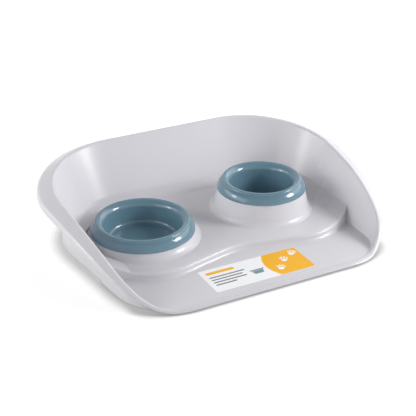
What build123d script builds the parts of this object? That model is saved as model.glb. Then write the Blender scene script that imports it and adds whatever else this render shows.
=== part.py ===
"""Double pet bowl: a scoop-shaped tray with two bowls that lift off their pedestals.

Lengths are in millimetres, +Z is up, the low open front faces -Y.
"""
import os
from math import cos, radians, sin, sqrt, tan

from build123d import *

# Floor of the tray, measured where the splash wall meets the trough
floor_length = 356.0
floor_depth = 287.0
front_corner_r = 56.0
back_corner_r = 85.0
trough_z = 5.0
plateau_z = 15.0
wall_t = 2.4
ground_gap = 1.0

# Splash wall and its rim: a sloping band between an inner brow and a rounded outer edge
wall_draft = 24.0
front_draft = 78.0
front_blend = 12.0
front_edge_z = 5.7
guard_z = 95.0
roll_front_w = 5.6
roll_back_w = 28.0
roll_growth = 1.3
roll_inner_front_r = 2.9
roll_inner_back_r = 4.5
roll_outer_front_r = 2.8
roll_outer_back_r = 9.0
band_slope = 26.0
roll_end_angle = 10.0
lip_front = 0.3
lip_back = 3.0
wall_sink = 1.2
rim_sections = 24
rim_overlap = 2

# Rise of the rim from the front edge (0) to the back (1), as (share of depth, share of height)
rim_rise_shares = ((0, 0), (0.046, 0.066), (0.109, 0.242), (0.253, 0.505),
                   (0.456, 0.714), (0.7375, 0.862), (1, 1))

# Raised plateau, its wavy front step and the sloping bank between it and the wall
bank_width = 22.5
bank_angle = 17.0
bank_rise = 10.0
bank_round = 14.0
bank_bite = 1.0
bank_skin = 0.8
bank_top_z = 50.0
bank_clear = 4.5
bury = 0.7
step_face_angle = 10.0
step_cove_r = 4.0
step_round = 4.0
plateau_set = 94.0
# Half of the front edge as (share of half the floor length, share of the lobe)
edge_shares = ((0, 0), (0.19, 0.24), (0.376, 0.62), (0.6, 0.98), (0.73, 0.84), (0.876, 0.336), (1.1, -0.93))
lobe_depth = 22.0
# Heights of the strips that turn the step face into the trough, as shares of the cove's radius
cove_shares = (0, 0.05, 0.15, 0.35, 0.65, 1)
plateau_reach = 40.0

# Standing skirt under the wall, wider at the back than at the front
skirt_front_length = 366.0
skirt_back_length = 442.0
skirt_depth = 315.0
skirt_inset = 2.0
skirt_front_r = 74.0
skirt_back_r = 115.0
skirt_top = 88.0
skirt_under_rim = 3.0
relief_height = 3.0
relief_length = 170.0
relief_from_front = 109.0
# Places along the depth where the top of the skirt follows the rim
cap_shares = (0, 0.05, 0.11, 0.18, 0.25, 0.4, 0.6, 0.8, 1)

# Shallow bowl on the left and deep bowl on the right
bowl_t = 2.2
shallow_x = -105.0
shallow_from_front = 178.0
shallow_seat_z = 25.6
shallow_rim_r = 72.4
shallow_crest_r = 63.3
shallow_drop = 15.2
shallow_depth = 33.5
deep_x = 84.5
deep_from_front = 181.0
deep_seat_z = 46.4
deep_rim_r = 64.0
deep_crest_r = 54.5
deep_drop = 14.7
deep_depth = 52.0
bowl_draft = 4.5
bowl_corner_r = 6.5
lip_roll_r = 10.0
crest_r = 2.6
rim_bulge = 1.6

# Pedestals
pedestal_inset = 1.0
pedestal_draft = 12.0
shallow_flare_r = 13.6
deep_flare_r = 11.0
flare_end = 10.0
neck_height = 5.6
neck_gap = 0.9
flare_sink = 0.4
hole_margin = 6.0

# Label and feet
label_length = 148.0
label_width = 56.0
label_t = 0.2
label_corner = 2.0
label_x = -3.6
label_from_front = 39.5
foot_r = 9.0
foot_chamfer = 0.5
cup_gap = 0.3
cup_t = 1.2
cup_height = 1.2
front_foot_x = 125.0
front_foot_y = 31.0
rear_foot_x = 120.0
rear_foot_y = 260.0

half_l = floor_length / 2
front_y = -floor_depth / 2
back_y = floor_depth / 2


def share(value, table):
    """Value of a rising table of pairs, joined by smooth curves that don't overshoot."""
    xs, ys = [p[0] for p in table], [p[1] for p in table]
    value = min(max(value, xs[0]), xs[-1])
    steps = [(ys[i + 1] - ys[i]) / (xs[i + 1] - xs[i]) for i in range(len(xs) - 1)]
    slopes = [steps[0] / 3] + [2 * a * b / (a + b) for a, b in zip(steps, steps[1:])] + [steps[-1]]
    i = max(k for k in range(len(xs) - 1) if xs[k] <= value)
    w = xs[i + 1] - xs[i]
    t = (value - xs[i]) / w
    return (ys[i] * (1 + 2 * t) * (1 - t) ** 2 + slopes[i] * w * t * (1 - t) ** 2
            + ys[i + 1] * t * t * (3 - 2 * t) - slopes[i + 1] * w * t * t * (1 - t))


def outline(length, front, back, r_front, r_back):
    """Rounded rectangle with its own front and back corner radii."""
    a = length / 2
    edges = [
        Line((-a + r_front, front), (a - r_front, front)),
        CenterArc((a - r_front, front + r_front), r_front, -90, 90),
        Line((a, front + r_front), (a, back - r_back)),
        CenterArc((a - r_back, back - r_back), r_back, 0, 90),
        Line((a - r_back, back), (-a + r_back, back)),
        CenterArc((-a + r_back, back - r_back), r_back, 90, 90),
        Line((-a, back - r_back), (-a, front + r_front)),
        CenterArc((-a + r_front, front + r_front), r_front, 180, 90),
    ]
    return make_face(edges)


def grown_floor(out, z):
    """Floor outline grown outwards, at a height."""
    return Pos(0, 0, z) * outline(floor_length + 2 * out, front_y - out, back_y + out,
                                  front_corner_r + out, back_corner_r + out)


def scoop(out, z, top):
    """Space inside the drafted wall, from a height up."""
    grow = out + (z - trough_z) * tan(radians(wall_draft))
    return extrude(grown_floor(grow, z), top - z, taper=-wall_draft)


# Splash wall with its rim: a loft of sections that stand round the floor outline

rim_run = floor_depth + (guard_z - trough_z) * tan(radians(wall_draft))


def rim_height(y):
    """Height of the rim at a distance from the front."""
    return front_edge_z + (guard_z - front_edge_z) * share((y - front_y) / rim_run, rim_rise_shares)


def rim_section(x, y, angle):
    """Closed section of wall and rim, standing on the floor outline and facing outwards."""
    nx, ny = cos(radians(angle)), sin(radians(angle))
    z = front_edge_z
    for _ in range(40):
        low = max(0, 1 - (z - front_edge_z) / front_blend) ** 2
        draft = wall_draft + (front_draft - wall_draft) * low
        z = (z + rim_height(y + ny * (z - trough_z) * tan(radians(draft)))) / 2
    d = radians(draft)
    rise = (z - front_edge_z) / (guard_z - front_edge_z)
    r1 = roll_inner_front_r + (roll_inner_back_r - roll_inner_front_r) * rise
    r2 = roll_outer_front_r + (roll_outer_back_r - roll_outer_front_r) * rise
    width = roll_front_w + (roll_back_w - roll_front_w) * rise ** roll_growth
    b = radians(band_slope)
    band = (width - r1 * (cos(d) + sin(b)) - r2 * (1 - sin(b))) / cos(b)
    lip = lip_front + (lip_back - lip_front) * rise

    def on(centre, r, a):
        return (centre[0] + r * cos(radians(a)), centre[1] + r * sin(radians(a)))

    foot = (-wall_sink * tan(d), trough_z - wall_sink)
    crease = ((z - trough_z) * tan(d), z)
    under = (wall_t * cos(d), -wall_t * sin(d))
    c1 = (crease[0] + r1 * cos(d), crease[1] - r1 * sin(d))
    start, flat, end = 180 - draft, 90 - band_slope, roll_end_angle
    brow, in_brow = on(c1, r1, flat), on(c1, r1 - wall_t, flat)
    edge = (brow[0] + band * cos(b), brow[1] - band * sin(b))
    c2 = on(edge, -r2, flat)
    in_edge = on(c2, r2 - wall_t, flat)
    tip = on(c2, r2, end)
    fall = (lip * sin(radians(end)), -lip * cos(radians(end)))
    in_tip = on(c2, r2 - wall_t, end)
    lip_out = (tip[0] + fall[0], tip[1] + fall[1])
    lip_in = (in_tip[0] + fall[0], in_tip[1] + fall[1])
    in_crease = (crease[0] + under[0], crease[1] + under[1])
    in_foot = (foot[0] + under[0], foot[1] + under[1])
    edges = [
        Line(foot, crease),
        ThreePointArc(crease, on(c1, r1, (start + flat) / 2), brow),
        Line(brow, edge),
        ThreePointArc(edge, on(c2, r2, (end + flat) / 2), tip),
        Line(tip, lip_out), Line(lip_out, lip_in), Line(lip_in, in_tip),
        ThreePointArc(in_tip, on(c2, r2 - wall_t, (end + flat) / 2), in_edge),
        Line(in_edge, in_brow),
        ThreePointArc(in_brow, on(c1, r1 - wall_t, (start + flat) / 2), in_crease),
        Line(in_crease, in_foot), Line(in_foot, foot),
    ]
    return Plane(origin=(x, y, 0), x_dir=(nx, ny, 0), z_dir=(ny, -nx, 0)) * make_face(edges)


def outline_spot(run):
    """Point and outward direction at a distance along the right half of the floor outline."""
    fx, bx = half_l - front_corner_r, half_l - back_corner_r
    fy, by = front_y + front_corner_r, back_y - back_corner_r
    arcs = [radians(90) * r for r in (front_corner_r, back_corner_r)]
    whole = fx + arcs[0] + by - fy + arcs[1] + bx
    if run < 0 or run > whole:
        x, y, angle = outline_spot(-run if run < 0 else 2 * whole - run)
        return -x, y, 180 - angle
    if run <= fx:
        return run, front_y, -90
    run -= fx
    if run <= arcs[0]:
        angle = 90 * run / arcs[0] - 90
        return fx + front_corner_r * cos(radians(angle)), fy + front_corner_r * sin(radians(angle)), angle
    run -= arcs[0]
    if run <= by - fy:
        return half_l, fy + run, 0
    run -= by - fy
    if run <= arcs[1]:
        angle = 90 * run / arcs[1]
        return bx + back_corner_r * cos(radians(angle)), by + back_corner_r * sin(radians(angle)), angle
    return bx + arcs[1] - run, back_y, 90


half_run = floor_length + floor_depth - (2 - radians(90)) * (front_corner_r + back_corner_r)
steps = range(-rim_overlap, rim_sections + rim_overlap + 1)
lofted = loft([rim_section(*outline_spot(half_run * i / rim_sections)) for i in steps])
far = 2 * (floor_length + floor_depth)
right_half = lofted & (Pos(far / 2, 0, 0) * Box(far, far, far))
rim_wall = right_half + mirror(right_half, about=Plane.YZ)

# Raised plateau with a bank against the wall, cut off in front by the sloping step face


def edge_region(shift_y, low, high, cove_r):
    """Everything behind the sloping step face and its cove, between two heights."""
    lean = tan(radians(step_face_angle))
    reach = half_l + plateau_reach

    def ring(z):
        left = min(max(trough_z + cove_r - z, 0), cove_r)
        foot = cove_r - sqrt(cove_r ** 2 - left ** 2)
        dy = front_y + plateau_set + shift_y + (z - plateau_z) * lean - foot
        side = [(half_l * sx, dy - lobe_depth * sy) for sx, sy in edge_shares]
        points = [(-px, py) for px, py in side[:0:-1]] + side
        last, rear = side[-1], back_y + reach
        edges = [Spline(*points), Polyline(last, (reach, last[1]), (reach, rear),
                                           (-reach, rear), (-reach, last[1]), points[0])]
        return Pos(0, 0, z) * make_face(edges)

    turns = [trough_z + cove_r * s for s in cove_shares] if cove_r else []
    return loft([ring(z) for z in [low] + turns + [high]], ruled=True)


def rear_face(out, z):
    """Floor outline grown outwards and left square in front, at a height."""
    a, r, front, back = half_l + out, back_corner_r + out, front_y - plateau_reach, back_y + out
    edges = [
        Polyline((-a, back - r), (-a, front), (a, front), (a, back - r)),
        CenterArc((a - r, back - r), r, 0, 90),
        Line((a - r, back), (r - a, back)),
        CenterArc((r - a, back - r), r, 90, 90),
    ]
    return Pos(0, 0, z) * make_face(edges)


def bank_space(drop):
    """Space above the plateau and its bank, lowered by a wall thickness for the underside."""
    slope = tan(radians(wall_draft))
    low = plateau_z - drop
    out = bank_bite + drop / cos(radians(wall_draft)) + (low - trough_z) * slope
    crease = (plateau_z - trough_z) * slope - bank_width + drop * tan(radians(bank_angle / 2))
    body = extrude(rear_face(crease, low), bank_rise, taper=bank_angle - 90)
    body += Pos(0, 0, low + bank_rise + far / 2) * Box(far, far, far)
    body &= extrude(rear_face(out, low), guard_z - low, taper=-wall_draft)
    meet_z = low + (out - crease) / (1 / tan(radians(bank_angle)) - slope)
    meet = body.edges().filter_by_position(Axis.Z, meet_z - bury, meet_z + bury).sort_by(Axis.Y)
    return fillet([e for e in meet if e.center().Y > front_y], bank_round + drop)


lean_t = wall_t / cos(radians(step_face_angle))
plateau = scoop(bank_bite + bank_skin, trough_z - bury, bank_top_z) - bank_space(0)
plateau &= edge_region(0, 0, bank_top_z, step_cove_r)
brink = plateau.edges().filter_by_position(Axis.Z, plateau_z - bury, plateau_z + bury).sort_by(Axis.Y)[0]
plateau = fillet(brink, step_round)
hollow = scoop(bank_clear, -wall_t, bank_top_z) - bank_space(wall_t)
hollow &= edge_region(lean_t, -wall_t, bank_top_z, 0)
plateau -= hollow
rim_wall -= hollow

floor = extrude(grown_floor(wall_sink, trough_z - wall_t), wall_t)
floor -= edge_region(lean_t, -wall_t, plateau_z, 0)

# Standing skirt, trimmed where it meets the wall

skirt_front = front_y + skirt_inset
skirt_back = skirt_front + skirt_depth
skirt_face = make_face(Polyline(
    (-skirt_front_length / 2, skirt_front), (skirt_front_length / 2, skirt_front),
    (skirt_back_length / 2, skirt_back), (-skirt_back_length / 2, skirt_back), close=True))
skirt_face = fillet(skirt_face.vertices().group_by(Axis.Y)[0], skirt_front_r)
skirt_face = fillet(skirt_face.vertices().group_by(Axis.Y)[-1], skirt_back_r)
skirt = extrude(Pos(0, 0, ground_gap) * (skirt_face - offset(skirt_face, -wall_t)), skirt_top - ground_gap)
skirt -= scoop(wall_sink, trough_z - bury, guard_z)
rim_points = [(front_y - plateau_reach, front_edge_z - skirt_under_rim)]
rim_points += [(front_y + rim_run * s, rim_height(front_y + rim_run * s) - skirt_under_rim)
               for s in cap_shares]
cap_edge = Polyline(*rim_points, (rim_points[-1][0], guard_z * 2), (rim_points[0][0], guard_z * 2), close=True)
skirt -= extrude(Plane.YZ * make_face(cap_edge), floor_length, both=True)
relief_y = front_y + relief_from_front + relief_length / 2
skirt -= Pos(0, relief_y, ground_gap) * Box(far, relief_length, 2 * relief_height)

# Hollow pedestals with a shoulder and a neck for the bowls


def pedestal(rim_r, seat_z, flare_r):
    """Revolved shell from the plateau up to the neck inside the bowl's rim."""
    shoulder = rim_r - pedestal_inset
    neck = rim_r - bowl_t - neck_gap - rim_bulge
    steep, flat = 90 - pedestal_draft, flare_end
    drop = flare_r * (cos(radians(flat)) - cos(radians(steep)))
    base_z = plateau_z - flare_sink
    bend_z = base_z + drop
    bend_r = shoulder + (seat_z - bend_z) * tan(radians(pedestal_draft))
    centre = (bend_r + flare_r * sin(radians(steep)), bend_z + flare_r * cos(radians(steep)))

    def on(r, a):
        return (centre[0] - r * sin(radians(a)), centre[1] - r * cos(radians(a)))

    mid = (steep + flat) / 2
    inner_r = flare_r + wall_t
    lower = on(inner_r, steep)
    under_z = seat_z - wall_t
    inner_top = lower[0] - (under_z - lower[1]) * tan(radians(pedestal_draft))
    edges = [
        ThreePointArc(on(flare_r, flat), on(flare_r, mid), on(flare_r, steep)),
        Polyline(on(flare_r, steep), (shoulder, seat_z), (neck, seat_z), (neck, seat_z + neck_height),
                 (neck - wall_t, seat_z + neck_height), (neck - wall_t, under_z), (inner_top, under_z), lower),
        ThreePointArc(lower, on(inner_r, mid), on(inner_r, flat)),
        Line(on(inner_r, flat), on(flare_r, flat)),
    ]
    return revolve(Plane.XZ * make_face(edges), Axis.Z)


shallow_at = Pos(shallow_x, front_y + shallow_from_front, 0)
deep_at = Pos(deep_x, front_y + deep_from_front, 0)
for place, rim_r, seat_z, flare_r in ((shallow_at, shallow_rim_r, shallow_seat_z, shallow_flare_r),
                                      (deep_at, deep_rim_r, deep_seat_z, deep_flare_r)):
    plateau -= place * Pos(0, 0, plateau_z) * Cylinder(rim_r + hole_margin, 2 * wall_t + 2 * plateau_z)
    plateau += place * pedestal(rim_r, seat_z, flare_r)

# Posts and cups that hold the feet

foot_top = trough_z - wall_t
foot_spots = {
    "foot_front_left": (-front_foot_x, front_y + front_foot_y, trough_z - wall_sink),
    "foot_front_right": (front_foot_x, front_y + front_foot_y, trough_z - wall_sink),
    "foot_rear_left": (-rear_foot_x, front_y + rear_foot_y, plateau_z - wall_sink),
    "foot_rear_right": (rear_foot_x, front_y + rear_foot_y, plateau_z - wall_sink),
}
cup_r = foot_r + cup_gap + cup_t
posts = []
for x, y, top in foot_spots.values():
    post = Pos(x, y, 0) * extrude(Pos(0, 0, foot_top - cup_height) * Circle(cup_r), top - foot_top + cup_height)
    posts.append(post - Pos(x, y, 0) * Cylinder(foot_r + cup_gap, 2 * foot_top))

tray = rim_wall + floor + plateau + skirt
for post in posts:
    tray += post

# Bowls


def bowl(rim_r, top_r, drop, depth):
    """Revolved bowl whose rim skirt stands on height zero."""
    t = bowl_t
    lip_r = top_r + crest_r
    edge_z = drop - crest_r
    floor_z = drop - depth
    mid = ((rim_r + lip_r) / 2 + rim_bulge, edge_z / 2)
    roll = (top_r, drop - lip_roll_r)
    draft = bowl_draft

    def on(centre, r, a):
        return (centre[0] + r * cos(radians(a)), centre[1] + r * sin(radians(a)))

    brow, in_brow = on(roll, lip_roll_r, 180 - draft), on(roll, lip_roll_r - t, 180 - draft)
    knee_z = floor_z + bowl_corner_r * (1 - sin(radians(draft)))
    knee_r = brow[0] - (brow[1] - knee_z) * tan(radians(draft))
    heel = on((knee_r, knee_z), -bowl_corner_r, -draft)
    turn = -(90 + draft) / 2
    edges = [
        Line((0, floor_z), (heel[0], floor_z)),
        ThreePointArc((heel[0], floor_z), on(heel, bowl_corner_r, turn), (knee_r, knee_z)),
        Line((knee_r, knee_z), brow),
        ThreePointArc(brow, on(roll, lip_roll_r, 135 - draft / 2), (top_r, drop)),
        ThreePointArc((top_r, drop), on((top_r, edge_z), crest_r, 45), (lip_r, edge_z)),
        ThreePointArc((lip_r, edge_z), mid, (rim_r, 0)),
        Line((rim_r, 0), (rim_r - t, 0)),
        ThreePointArc((rim_r - t, 0), (mid[0] - t, mid[1] - t / 4), (lip_r - t, edge_z)),
        Line((lip_r - t, edge_z), (top_r, drop - t)),
        ThreePointArc((top_r, drop - t), on(roll, lip_roll_r - t, 135 - draft / 2), in_brow),
        Line(in_brow, on(heel, bowl_corner_r + t, -draft)),
        ThreePointArc(on(heel, bowl_corner_r + t, -draft), on(heel, bowl_corner_r + t, turn),
                      (heel[0], floor_z - t)),
        Line((heel[0], floor_z - t), (0, floor_z - t)),
        Line((0, floor_z - t), (0, floor_z)),
    ]
    return revolve(Plane.XZ * make_face(edges), Axis.Z)


shallow_bowl = shallow_at * Pos(0, 0, shallow_seat_z) * bowl(
    shallow_rim_r, shallow_crest_r, shallow_drop, shallow_depth)
deep_bowl = deep_at * Pos(0, 0, deep_seat_z) * bowl(
    deep_rim_r, deep_crest_r, deep_drop, deep_depth)

# Label on the trough floor and the four rubber feet

label_face = RectangleRounded(label_length, label_width, label_corner)
shelf_label = Pos(label_x, front_y + label_from_front, trough_z) * extrude(label_face, label_t)

foot = extrude(Circle(foot_r), foot_top)
foot = chamfer(foot.edges().group_by(Axis.Z)[0], foot_chamfer)

parts = {"tray": tray, "shallow_bowl": shallow_bowl, "deep_bowl": deep_bowl, "shelf_label": shelf_label}
for name, (x, y, _) in foot_spots.items():
    parts[name] = Pos(x, y, 0) * foot

# The middle of the tray's box is the origin
box = tray.bounding_box()
centre_y = (box.min.Y + box.max.Y) / 2

os.makedirs("parts", exist_ok=True)
for name, solid in parts.items():
    export_step(Pos(0, -centre_y, 0) * solid, f"parts/{name}.step")
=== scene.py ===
"""Looks for a double pet bowl: a white splash-guard tray with two lift-out bowls."""

import math

import bmesh
import bpy
from bpy.props import FloatProperty, FloatVectorProperty, PointerProperty
from mathutils import Matrix, Vector


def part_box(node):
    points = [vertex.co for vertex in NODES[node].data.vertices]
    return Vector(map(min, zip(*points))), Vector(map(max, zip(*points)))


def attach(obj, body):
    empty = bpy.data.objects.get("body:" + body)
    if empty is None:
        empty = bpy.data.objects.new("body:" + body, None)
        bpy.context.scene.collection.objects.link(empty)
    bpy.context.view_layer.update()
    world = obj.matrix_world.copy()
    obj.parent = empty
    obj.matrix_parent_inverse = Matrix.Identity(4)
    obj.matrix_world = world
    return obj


bl_info = {
    "name": "Double Pet Bowl Looks",
    "version": (1, 0, 0),
    "blender": (4, 5, 0),
    "location": "View3D > Sidebar > Pet Bowl",
    "description": "Finishes, printed label and studio for a double pet bowl",
    "category": "Object",
}

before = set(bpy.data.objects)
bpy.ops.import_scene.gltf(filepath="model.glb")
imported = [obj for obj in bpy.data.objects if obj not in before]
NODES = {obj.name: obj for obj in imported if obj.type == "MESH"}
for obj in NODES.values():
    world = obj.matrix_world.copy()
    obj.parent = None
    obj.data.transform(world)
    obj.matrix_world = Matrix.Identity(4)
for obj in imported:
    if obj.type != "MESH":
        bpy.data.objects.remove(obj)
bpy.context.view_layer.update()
BOWLS = ("shallow_bowl", "deep_bowl")
FEET = ("foot_front_left", "foot_front_right", "foot_rear_left", "foot_rear_right")
LABEL_LOW, LABEL_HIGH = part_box("shelf_label")
MM = 0.001

# Print on the label, in millimetres from its centre
PANEL_INNER = 14.0  # where the panel's bowed edge comes nearest to the centre
PANEL_BOW = 9.0  # how far that edge runs back at the sides
PANEL_CUTS = 15
PANEL_CORNER = 2.0
BARE_END, BARE_SIDE = 0.2, 0.25  # film left bare outside the panel
HEADING = (-46.0, 17.5, 42.0, 6.0)  # middle, length and height of a bar
LINE_LENGTHS = (52.0, 46.0, 49.0, 31.0)
LINE_LEFT, LINE_TOP, LINE_PITCH, LINE_HEIGHT = -67.0, 7.0, 6.4, 2.6
DISH = ((-9.5, -3.0), (-7.5, -10.5), (5.5, -10.5), (7.5, -3.0))
DISH_RIM = (-1.0, -1.2, 21.0, 2.4)
BAR_ROUNDING = 0.49  # corner radius as a share of the height, just under the half at which corners meet
CORNER_SEGMENTS = 6

# Paw prints: where each stands and how it is turned, then shares of the paw's size
PAW_SIZE = 8.5
PAWS = ((30.0, -13.0, -0.5), (45.0, 4.0, -0.25), (62.0, 14.5, -0.7))
PAD_WIDTH, PAD_LENGTH, PAD_SEGMENTS = 0.96, 0.8, 28
TOE_WIDTH, TOE_LENGTH, TOE_SEGMENTS = 0.34, 0.48, 16
TOE_SPREAD = 0.52
TOES = ((-1.5, 0.76), (-0.5, 0.86), (0.5, 0.86), (1.5, 0.76))  # steps from the middle, and reach

# Studio: each lamp's azimuth and elevation in degrees, distance, width, height and colour
WARM, NEUTRAL = (1.0, 0.99, 0.97), (1.0, 1.0, 1.0)
LAMP_AIM = (0.0, 0.0, 0.03)
LAMPS = {
    "left_wall": (-104.0, 21.0, 1.5, 2.2, 0.8, WARM),
    "left_box": (-106.0, 24.0, 1.5, 0.35, 0.35, WARM),
    "right_wall": (100.0, 30.0, 1.6, 1.8, 1.0, NEUTRAL),
    "right_box": (58.0, 28.0, 1.6, 0.5, 0.5, NEUTRAL),
}
SKY_COLOUR = (0.97, 0.98, 1.0, 1.0)
OVERHEAD_SHARE = 0.06  # fill that is left straight above the object
FLOOR_RADIUS, FLOOR_SEGMENTS = 8.0, 64
FLOOR_LIGHTING = (0.55, 0.55, 0.55, 1.0)  # floor as it lights the object
FLOOR_SEEN = (0.45, 0.45, 0.45, 1.0)  # part of the seen floor that takes shadows
# reach of the painted contact shadow in the seen floor's glow
PAINTED_SHADOW_REACH = 0.022
SENSOR_WIDTH = 36.0


def colour_prop(name, description, default):
    """One colour that a user can change."""
    return FloatVectorProperty(
        name=name, description=description, default=default, subtype="COLOR", size=3, min=0.0, max=1.0
    )


def share_prop(name, description, default):
    """One value from 0 to 1."""
    return FloatProperty(name=name, description=description, default=default, min=0.0, max=1.0)


def length_prop(name, description, default, least):
    """One length in metres."""
    return FloatProperty(name=name, description=description, default=default, unit="LENGTH", min=least)


def strength_prop(name, description, default):
    """Strength of one light."""
    return FloatProperty(name=name, description=description, default=default, min=0.0)


def place_prop(name, description, default):
    """One point in metres."""
    return FloatVectorProperty(
        name=name, description=description, default=default, subtype="XYZ", unit="LENGTH"
    )


class TrayFinish(bpy.types.PropertyGroup):
    """Satin white plastic of the tray."""

    colour: colour_prop("Colour", "Cool white of the moulded tray", (0.68, 0.67, 0.703))
    roughness: share_prop("Roughness", "How satin the tray is", 0.25)
    grain: length_prop("Grain", "Size of the fine moulded grain", 0.0012, 0.0002)


class BowlFinish(bpy.types.PropertyGroup):
    """Glossy blue-grey plastic of the two bowls."""

    colour: colour_prop("Colour", "Blue-grey of the bowls", (0.135, 0.242, 0.308))
    roughness: share_prop("Roughness", "How glossy the bowls are", 0.16)
    ripple: length_prop("Ripple", "Size of the faint ripple left by moulding", 0.006, 0.001)


class LabelDesign(bpy.types.PropertyGroup):
    """Printed film on the trough floor."""

    film: colour_prop("Film", "White of the bare film", (0.94, 0.94, 0.95))
    amber: colour_prop("Amber", "Warm ink of the panel and heading bar", (0.95, 0.48, 0.02))
    grey: colour_prop("Grey", "Ink of the plain bars", (0.22, 0.23, 0.24))
    blue: colour_prop("Blue", "Ink of the dish sign", (0.2, 0.3, 0.36))
    ink: length_prop("Ink", "How far the ink stands on the film", 0.00006, 0.00001)


class FootFinish(bpy.types.PropertyGroup):
    """Rubber of the pads under the tray."""

    colour: colour_prop("Colour", "Dark grey of the rubber", (0.035, 0.035, 0.037))
    roughness: share_prop("Roughness", "How dull the rubber is", 0.7)


class StudioSetup(bpy.types.PropertyGroup):
    """Pale floor, soft boxes and the camera."""

    fill: strength_prop("Fill", "Strength of the light from all round", 0.72)
    left_wall: strength_prop("Left Wall", "Power of the wide screen at the left", 10.0)
    left_box: strength_prop("Left Box", "Power of the small box at the left", 2.8)
    right_wall: strength_prop("Right Wall", "Power of the wide screen at the right", 8.4)
    right_box: strength_prop("Right Box", "Power of the small box at the right", 14.8)
    lens: FloatProperty(name="Lens", description="Focal length in millimetres", default=90.5, min=10.0)
    camera_place: place_prop("Camera", "Where the camera stands", (-0.6154, -1.1611, 0.7018))
    camera_aim: place_prop("Aim", "Point that the camera looks at", (0.0268, 0.0627, 0.0))


def grain_group():
    """Group that turns a place on the surface into grain height, a roughness and a tone."""
    group = bpy.data.node_groups.get("moulded_grain")
    if group:
        return group
    group = bpy.data.node_groups.new("moulded_grain", "ShaderNodeTree")
    for name, value in (
        ("Grain Scale", 800.0),
        ("Drift Scale", 14.0),
        ("Base Roughness", 0.4),
        ("Roughness Spread", 0.08),
        ("Tone Spread", 0.05),
    ):
        socket = group.interface.new_socket(name, in_out="INPUT", socket_type="NodeSocketFloat")
        socket.default_value = value
    for name in ("Height", "Roughness", "Tone"):
        group.interface.new_socket(name, in_out="OUTPUT", socket_type="NodeSocketFloat")
    nodes, links = group.nodes, group.links
    inside, outside = nodes.new("NodeGroupInput"), nodes.new("NodeGroupOutput")
    place = nodes.new("ShaderNodeTexCoord")
    fine, drift = nodes.new("ShaderNodeTexNoise"), nodes.new("ShaderNodeTexNoise")
    fine.inputs["Detail"].default_value = 3.0
    drift.inputs["Detail"].default_value = 2.0
    links.new(place.outputs["Object"], fine.inputs["Vector"])
    links.new(place.outputs["Object"], drift.inputs["Vector"])
    links.new(inside.outputs["Grain Scale"], fine.inputs["Scale"])
    links.new(inside.outputs["Drift Scale"], drift.inputs["Scale"])
    centred = nodes.new("ShaderNodeMath")
    centred.operation = "SUBTRACT"
    centred.inputs[1].default_value = 0.5
    links.new(drift.outputs["Fac"], centred.inputs[0])
    rough = nodes.new("ShaderNodeMath")
    rough.operation = "MULTIPLY_ADD"
    links.new(centred.outputs[0], rough.inputs[0])
    links.new(inside.outputs["Roughness Spread"], rough.inputs[1])
    links.new(inside.outputs["Base Roughness"], rough.inputs[2])
    tone = nodes.new("ShaderNodeMath")
    tone.operation = "MULTIPLY_ADD"
    tone.inputs[2].default_value = 1.0
    links.new(centred.outputs[0], tone.inputs[0])
    links.new(inside.outputs["Tone Spread"], tone.inputs[1])
    links.new(fine.outputs["Fac"], outside.inputs["Height"])
    links.new(rough.outputs[0], outside.inputs["Roughness"])
    links.new(tone.outputs[0], outside.inputs["Tone"])
    return group


def moulded_material(name, colour, roughness, *, grain, drift, rough_spread, tone_spread, bump, depth):
    """Moulded plastic, rubber or ink: a tone that drifts over the piece, and a fine grain."""
    material = bpy.data.materials.new(name)
    material.use_nodes = True
    nodes, links = material.node_tree.nodes, material.node_tree.links
    shader = nodes["Principled BSDF"]
    surface = nodes.new("ShaderNodeGroup")
    surface.node_tree = grain_group()
    surface.inputs["Grain Scale"].default_value = grain
    surface.inputs["Drift Scale"].default_value = drift
    surface.inputs["Base Roughness"].default_value = roughness
    surface.inputs["Roughness Spread"].default_value = rough_spread
    surface.inputs["Tone Spread"].default_value = tone_spread
    tint = nodes.new("ShaderNodeMix")
    tint.data_type = "RGBA"
    tint.blend_type = "MULTIPLY"
    tint.inputs["Factor"].default_value = 1.0
    tint.inputs["A"].default_value = (*colour, 1.0)
    links.new(surface.outputs["Tone"], tint.inputs["B"])
    links.new(tint.outputs["Result"], shader.inputs["Base Color"])
    links.new(surface.outputs["Roughness"], shader.inputs["Roughness"])
    relief = nodes.new("ShaderNodeBump")
    relief.inputs["Strength"].default_value = bump
    relief.inputs["Distance"].default_value = depth
    links.new(surface.outputs["Height"], relief.inputs["Height"])
    links.new(relief.outputs["Normal"], shader.inputs["Normal"])
    return material


def coat(material, weight, roughness):
    """Clear gloss over a material."""
    shader = material.node_tree.nodes["Principled BSDF"]
    shader.inputs["Coat Weight"].default_value = weight
    shader.inputs["Coat Roughness"].default_value = roughness


def ink_material(name, colour, roughness=0.3):
    """Printed ink on film, slightly uneven in tone."""
    material = moulded_material(
        name, colour, roughness,
        grain=2600.0, drift=60.0, rough_spread=0.06, tone_spread=0.05, bump=0.04, depth=0.00002,
    )
    material.node_tree.nodes["Principled BSDF"].inputs["Specular IOR Level"].default_value = 0.2
    coat(material, 0.05, 0.16)
    return material


def dress(node, material):
    """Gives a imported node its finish."""
    slots = NODES[node].data.materials
    slots.clear()
    slots.append(material)


def piece_from(mesh, name, body, material):
    """Turns a bmesh into a named piece that rides on a body."""
    bmesh.ops.recalc_face_normals(mesh, faces=mesh.faces)
    data = bpy.data.meshes.new(name)
    mesh.to_mesh(data)
    mesh.free()
    data.materials.append(material)
    piece = bpy.data.objects.new(name, data)
    bpy.context.scene.collection.objects.link(piece)
    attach(piece, body)


def on_film(x, y):
    """Point on top of the label's film, in millimetres from its centre."""
    centre = (LABEL_LOW + LABEL_HIGH) / 2
    return Vector((centre.x + x * MM, centre.y + y * MM, LABEL_HIGH.z))


def outline(mesh, *corners):
    """Flat face on the film between a few corners."""
    return mesh.faces.new([mesh.verts.new(on_film(x, y)) for x, y in corners])


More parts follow.
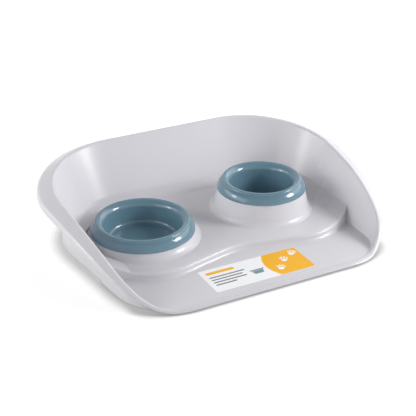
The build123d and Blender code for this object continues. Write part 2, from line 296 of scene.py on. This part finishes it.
def round_corners(mesh, corners, radius):
    """Rounds some corners of a flat face to a radius in millimetres."""
    bmesh.ops.bevel(
        mesh, geom=corners, offset=radius * MM, offset_type="OFFSET", affect="VERTICES",
        segments=CORNER_SEGMENTS, profile=0.5, material=-1,
    )


def bar(mesh, x, y, length, height):
    """Bar with round ends."""
    left, right, low, high = x - length / 2, x + length / 2, y - height / 2, y + height / 2
    face = outline(mesh, (left, low), (right, low), (right, high), (left, high))
    round_corners(mesh, face.verts[:], BAR_ROUNDING * height)


def oval(mesh, x, y, width, length, turn, segments):
    """Turned oval."""
    size = Matrix.Diagonal((width / 2 * MM, length / 2 * MM, 1.0, 1.0))
    place = Matrix.Translation(on_film(x, y)) @ Matrix.Rotation(turn, 4, "Z") @ size
    bmesh.ops.create_circle(mesh, cap_ends=True, segments=segments, radius=1.0, matrix=place)


def bowed_panel(mesh):
    """Panel across the right end of the film, with a bowed inner edge and round outer corners."""
    half_x, half_y = (LABEL_HIGH - LABEL_LOW).xy / (2 * MM)
    left, right, top = PANEL_INNER + PANEL_BOW, half_x - BARE_END, half_y - BARE_SIDE
    panel = outline(mesh, (left, top), (left, -top), (right, -top), (right, top))
    bmesh.ops.subdivide_edges(mesh, edges=[panel.edges[0]], cuts=PANEL_CUTS)
    middle = on_film((left + right) / 2, 0.0)
    inner = [vert for vert in mesh.verts if vert.co.x < middle.x]
    outer = [vert for vert in mesh.verts if vert.co.x > middle.x]
    for vert in inner:
        share = (vert.co.y - middle.y) / (half_y * MM)
        vert.co.x = on_film(PANEL_INNER + PANEL_BOW * share ** 2, 0.0).x
    round_corners(mesh, outer, PANEL_CORNER)


def paw(mesh, x, y, turn):
    """Pad and four toes of one paw print."""
    oval(mesh, x, y, PAD_WIDTH * PAW_SIZE, PAD_LENGTH * PAW_SIZE, turn, PAD_SEGMENTS)
    for step, reach in TOES:
        lean = turn - TOE_SPREAD * step
        toe_x = x - reach * PAW_SIZE * math.sin(lean)
        toe_y = y + reach * PAW_SIZE * math.cos(lean)
        oval(mesh, toe_x, toe_y, TOE_WIDTH * PAW_SIZE, TOE_LENGTH * PAW_SIZE, lean, TOE_SEGMENTS)


def raise_ink(mesh, ink):
    """Raises all flat faces into a thin layer of ink that is sunk a little into the film."""
    sink = ink / 3
    bmesh.ops.translate(mesh, vec=(0, 0, -sink), verts=mesh.verts[:])
    raised = bmesh.ops.extrude_face_region(mesh, geom=mesh.faces[:])
    lifted = [v for v in raised["geom"] if isinstance(v, bmesh.types.BMVert)]
    bmesh.ops.translate(mesh, vec=(0, 0, ink + sink), verts=lifted)


class PETBOWL_OT_tray(bpy.types.Operator):
    """Finish the white splash-guard tray"""

    bl_idname = "petbowl.tray"
    bl_label = "Tray"

    def execute(self, context):
        look = context.scene.petbowl_tray
        plastic = moulded_material(
            "satin_white_plastic", look.colour, look.roughness,
            grain=1 / look.grain, drift=9.0, rough_spread=0.1, tone_spread=0.03, bump=0.12, depth=0.00004,
        )
        dress("tray", plastic)
        return {"FINISHED"}


class PETBOWL_OT_bowls(bpy.types.Operator):
    """Finish the shallow and the deep bowl"""

    bl_idname = "petbowl.bowls"
    bl_label = "Bowls"

    def execute(self, context):
        look = context.scene.petbowl_bowl
        plastic = moulded_material(
            "glossy_blue_grey_plastic", look.colour, look.roughness,
            grain=1 / look.ripple, drift=16.0, rough_spread=0.06, tone_spread=0.06, bump=0.05, depth=0.0001,
        )
        coat(plastic, 0.3, 0.06)
        for node in BOWLS:
            dress(node, plastic)
        return {"FINISHED"}


class PETBOWL_OT_label(bpy.types.Operator):
    """Print a plain design on the film of the trough floor"""

    bl_idname = "petbowl.label"
    bl_label = "Label"

    def execute(self, context):
        look = context.scene.petbowl_label
        dress("shelf_label", ink_material("white_film", look.film, 0.26))

        # amber panel across the right end, and a heading bar
        mesh = bmesh.new()
        bowed_panel(mesh)
        bar(mesh, *HEADING)
        raise_ink(mesh, look.ink)
        amber = ink_material("amber_ink", look.amber)
        piece_from(mesh, "label_amber_panel", "tray", amber)

        # plain bars under the heading
        mesh = bmesh.new()
        for row, length in enumerate(LINE_LENGTHS):
            bar(mesh, LINE_LEFT + length / 2, LINE_TOP - row * LINE_PITCH, length, LINE_HEIGHT)
        raise_ink(mesh, look.ink)
        grey = ink_material("grey_ink", look.grey, 0.4)
        piece_from(mesh, "label_grey_bars", "tray", grey)

        # a dish sign between the bars and the panel
        mesh = bmesh.new()
        outline(mesh, *DISH)
        bar(mesh, *DISH_RIM)
        raise_ink(mesh, look.ink)
        blue = ink_material("blue_ink", look.blue, 0.35)
        piece_from(mesh, "label_dish_sign", "tray", blue)

        # paw prints walking over the panel, on top of its ink
        mesh = bmesh.new()
        for place in PAWS:
            paw(mesh, *place)
        raise_ink(mesh, 2 * look.ink)
        white = ink_material("white_ink", look.film)
        piece_from(mesh, "label_paw_prints", "tray", white)
        return {"FINISHED"}


class PETBOWL_OT_feet(bpy.types.Operator):
    """Finish the rubber pads under the tray"""

    bl_idname = "petbowl.feet"
    bl_label = "Feet"

    def execute(self, context):
        look = context.scene.petbowl_foot
        rubber = moulded_material(
            "dark_rubber", look.colour, look.roughness,
            grain=1500.0, drift=60.0, rough_spread=0.15, tone_spread=0.3, bump=0.25, depth=0.00008,
        )
        for node in FEET:
            dress(node, rubber)
        return {"FINISHED"}


def aimed(place, aim):
    """Turn of a lamp or camera that looks from place to aim."""
    return (Vector(aim) - Vector(place)).to_track_quat("-Z", "Y").to_euler()


def lamp(name, power):
    """Area lamp placed round the object: azimuth 0 is in front of it and 90 at its right."""
    azimuth, elevation, distance, width, height, colour = LAMPS[name]
    a, e = math.radians(azimuth), math.radians(elevation)
    direction = Vector((math.sin(a) * math.cos(e), -math.cos(a) * math.cos(e), math.sin(e)))
    data = bpy.data.lights.new(name, "AREA")
    data.shape = "RECTANGLE"
    data.size, data.size_y = width, height
    data.energy = power
    data.color = colour
    light = bpy.data.objects.new(name, data)
    light.location = Vector(LAMP_AIM) + distance * direction
    light.rotation_euler = aimed(light.location, LAMP_AIM)
    bpy.context.scene.collection.objects.link(light)


def seen_directly(nodes, links):
    """Light Path value that is 1 for rays from the camera, a reflection or a see-through surface."""
    path = nodes.new("ShaderNodeLightPath")
    first, second = nodes.new("ShaderNodeMath"), nodes.new("ShaderNodeMath")
    first.operation = second.operation = "ADD"
    second.use_clamp = True
    links.new(path.outputs["Is Camera Ray"], first.inputs[0])
    links.new(path.outputs["Is Glossy Ray"], first.inputs[1])
    links.new(first.outputs[0], second.inputs[0])
    links.new(path.outputs["Is Transmission Ray"], second.inputs[1])
    return second.outputs[0]


def ramped(nodes, links, measure, *, start, end, level, rest):
    """Strength that follows a measure: level up to its start, and rest from its end on."""
    ramp = nodes.new("ShaderNodeMapRange")
    ramp.inputs["From Min"].default_value = start
    ramp.inputs["From Max"].default_value = end
    ramp.inputs["To Min"].default_value = level
    ramp.inputs["To Max"].default_value = rest
    links.new(measure, ramp.inputs["Value"])
    return ramp.outputs[0]


def combined(nodes, links, operation, first, second):
    """Result of one sum on two values."""
    node = nodes.new("ShaderNodeMath")
    node.operation = operation
    links.new(first, node.inputs[0])
    links.new(second, node.inputs[1])
    return node.outputs[0]


def floor_material():
    """Pale floor: plain grey as a source of light, and white where it is seen, with the lamps' shadows and a
    soft painted contact shadow.
    """
    paper = bpy.data.materials.new("pale_floor")
    paper.use_nodes = True
    nodes, links = paper.node_tree.nodes, paper.node_tree.links
    nodes.remove(nodes["Principled BSDF"])
    plain, shaded = nodes.new("ShaderNodeBsdfDiffuse"), nodes.new("ShaderNodeBsdfDiffuse")
    plain.inputs["Color"].default_value = FLOOR_LIGHTING
    shaded.inputs["Color"].default_value = FLOOR_SEEN

    # the glow is darker where the tray stands close, a painted contact shadow, and makes up for the lamps
    # far away
    contact = nodes.new("ShaderNodeAmbientOcclusion")
    contact.inputs["Distance"].default_value = PAINTED_SHADOW_REACH
    painted_shadow_glow = ramped(nodes, links, contact.outputs["AO"], start=0.6, end=1.0, level=0.16, rest=0.71)
    place, away = nodes.new("ShaderNodeTexCoord"), nodes.new("ShaderNodeVectorMath")
    away.operation = "LENGTH"
    links.new(place.outputs["Object"], away.inputs[0])
    far = ramped(nodes, links, away.outputs["Value"], start=0.6, end=2.0, level=0.0, rest=0.25)
    glow = nodes.new("ShaderNodeEmission")
    links.new(combined(nodes, links, "ADD", painted_shadow_glow, far), glow.inputs["Strength"])

    both, choice = nodes.new("ShaderNodeAddShader"), nodes.new("ShaderNodeMixShader")
    links.new(shaded.outputs[0], both.inputs[0])
    links.new(glow.outputs[0], both.inputs[1])
    links.new(seen_directly(nodes, links), choice.inputs["Fac"])
    links.new(plain.outputs[0], choice.inputs[1])
    links.new(both.outputs[0], choice.inputs[2])
    links.new(choice.outputs[0], nodes["Material Output"].inputs["Surface"])
    return paper


def studio_world(strength):
    """Light from all round that is weak overhead, with a white band at the horizon where it is seen."""
    world = bpy.data.worlds.new("studio_light")
    world.use_nodes = True
    nodes, links = world.node_tree.nodes, world.node_tree.links
    sky = nodes["Background"]
    sky.inputs["Color"].default_value = SKY_COLOUR
    place, split = nodes.new("ShaderNodeTexCoord"), nodes.new("ShaderNodeSeparateXYZ")
    links.new(place.outputs["Generated"], split.inputs[0])
    height = split.outputs["Z"]
    fill = ramped(nodes, links, height, start=0.5, end=0.95, level=strength, rest=OVERHEAD_SHARE * strength)
    band = ramped(nodes, links, height, start=0.06, end=0.24, level=1.0, rest=0.0)
    choice = nodes.new("ShaderNodeMix")
    links.new(seen_directly(nodes, links), choice.inputs["Factor"])
    links.new(fill, choice.inputs["A"])
    links.new(combined(nodes, links, "MAXIMUM", fill, band), choice.inputs["B"])
    links.new(choice.outputs["Result"], sky.inputs["Strength"])
    return world


class PETBOWL_OT_stage(bpy.types.Operator):
    """Set the pale floor, the lamps and the camera"""

    bl_idname = "petbowl.stage"
    bl_label = "Studio"

    def execute(self, context):
        scene = context.scene
        look = scene.petbowl_studio
        scene.view_settings.view_transform = "Standard"

        mesh = bmesh.new()
        bmesh.ops.create_circle(mesh, cap_ends=True, segments=FLOOR_SEGMENTS, radius=FLOOR_RADIUS)
        data = bpy.data.meshes.new("studio_floor")
        mesh.to_mesh(data)
        mesh.free()
        data.materials.append(floor_material())
        floor = bpy.data.objects.new("studio_floor", data)
        scene.collection.objects.link(floor)

        scene.world = studio_world(look.fill)
        for name in LAMPS:
            lamp(name, getattr(look, name))

        data = bpy.data.cameras.new("camera")
        data.lens = look.lens
        data.sensor_width = SENSOR_WIDTH
        data.sensor_fit = "HORIZONTAL"
        camera = bpy.data.objects.new("camera", data)
        camera.location = look.camera_place
        camera.rotation_euler = aimed(look.camera_place, look.camera_aim)
        scene.collection.objects.link(camera)
        scene.camera = camera
        return {"FINISHED"}


class PETBOWL_PT_panel(bpy.types.Panel):
    """Lists the finishes and the pieces"""

    bl_label = "Pet Bowl"
    bl_idname = "PETBOWL_PT_panel"
    bl_space_type = "VIEW_3D"
    bl_region_type = "UI"
    bl_category = "Pet Bowl"

    def draw(self, context):
        for setting, group, operator in STEPS:
            box = self.layout.box()
            for name in group.__annotations__:
                box.prop(getattr(context.scene, setting), name)
            box.operator(operator.bl_idname)


STEPS = (
    ("petbowl_tray", TrayFinish, PETBOWL_OT_tray),
    ("petbowl_bowl", BowlFinish, PETBOWL_OT_bowls),
    ("petbowl_label", LabelDesign, PETBOWL_OT_label),
    ("petbowl_foot", FootFinish, PETBOWL_OT_feet),
    ("petbowl_studio", StudioSetup, PETBOWL_OT_stage),
)


def register():
    for setting, group, operator in STEPS:
        bpy.utils.register_class(group)
        bpy.utils.register_class(operator)
        setattr(bpy.types.Scene, setting, PointerProperty(type=group))
    bpy.utils.register_class(PETBOWL_PT_panel)


def unregister():
    bpy.utils.unregister_class(PETBOWL_PT_panel)
    for setting, group, operator in reversed(STEPS):
        delattr(bpy.types.Scene, setting)
        bpy.utils.unregister_class(operator)
        bpy.utils.unregister_class(group)


def main():
    register()
    bpy.ops.petbowl.tray()
    bpy.ops.petbowl.bowls()
    bpy.ops.petbowl.label()
    bpy.ops.petbowl.feet()
    bpy.ops.petbowl.stage()


if __name__ == "__main__":
    main()
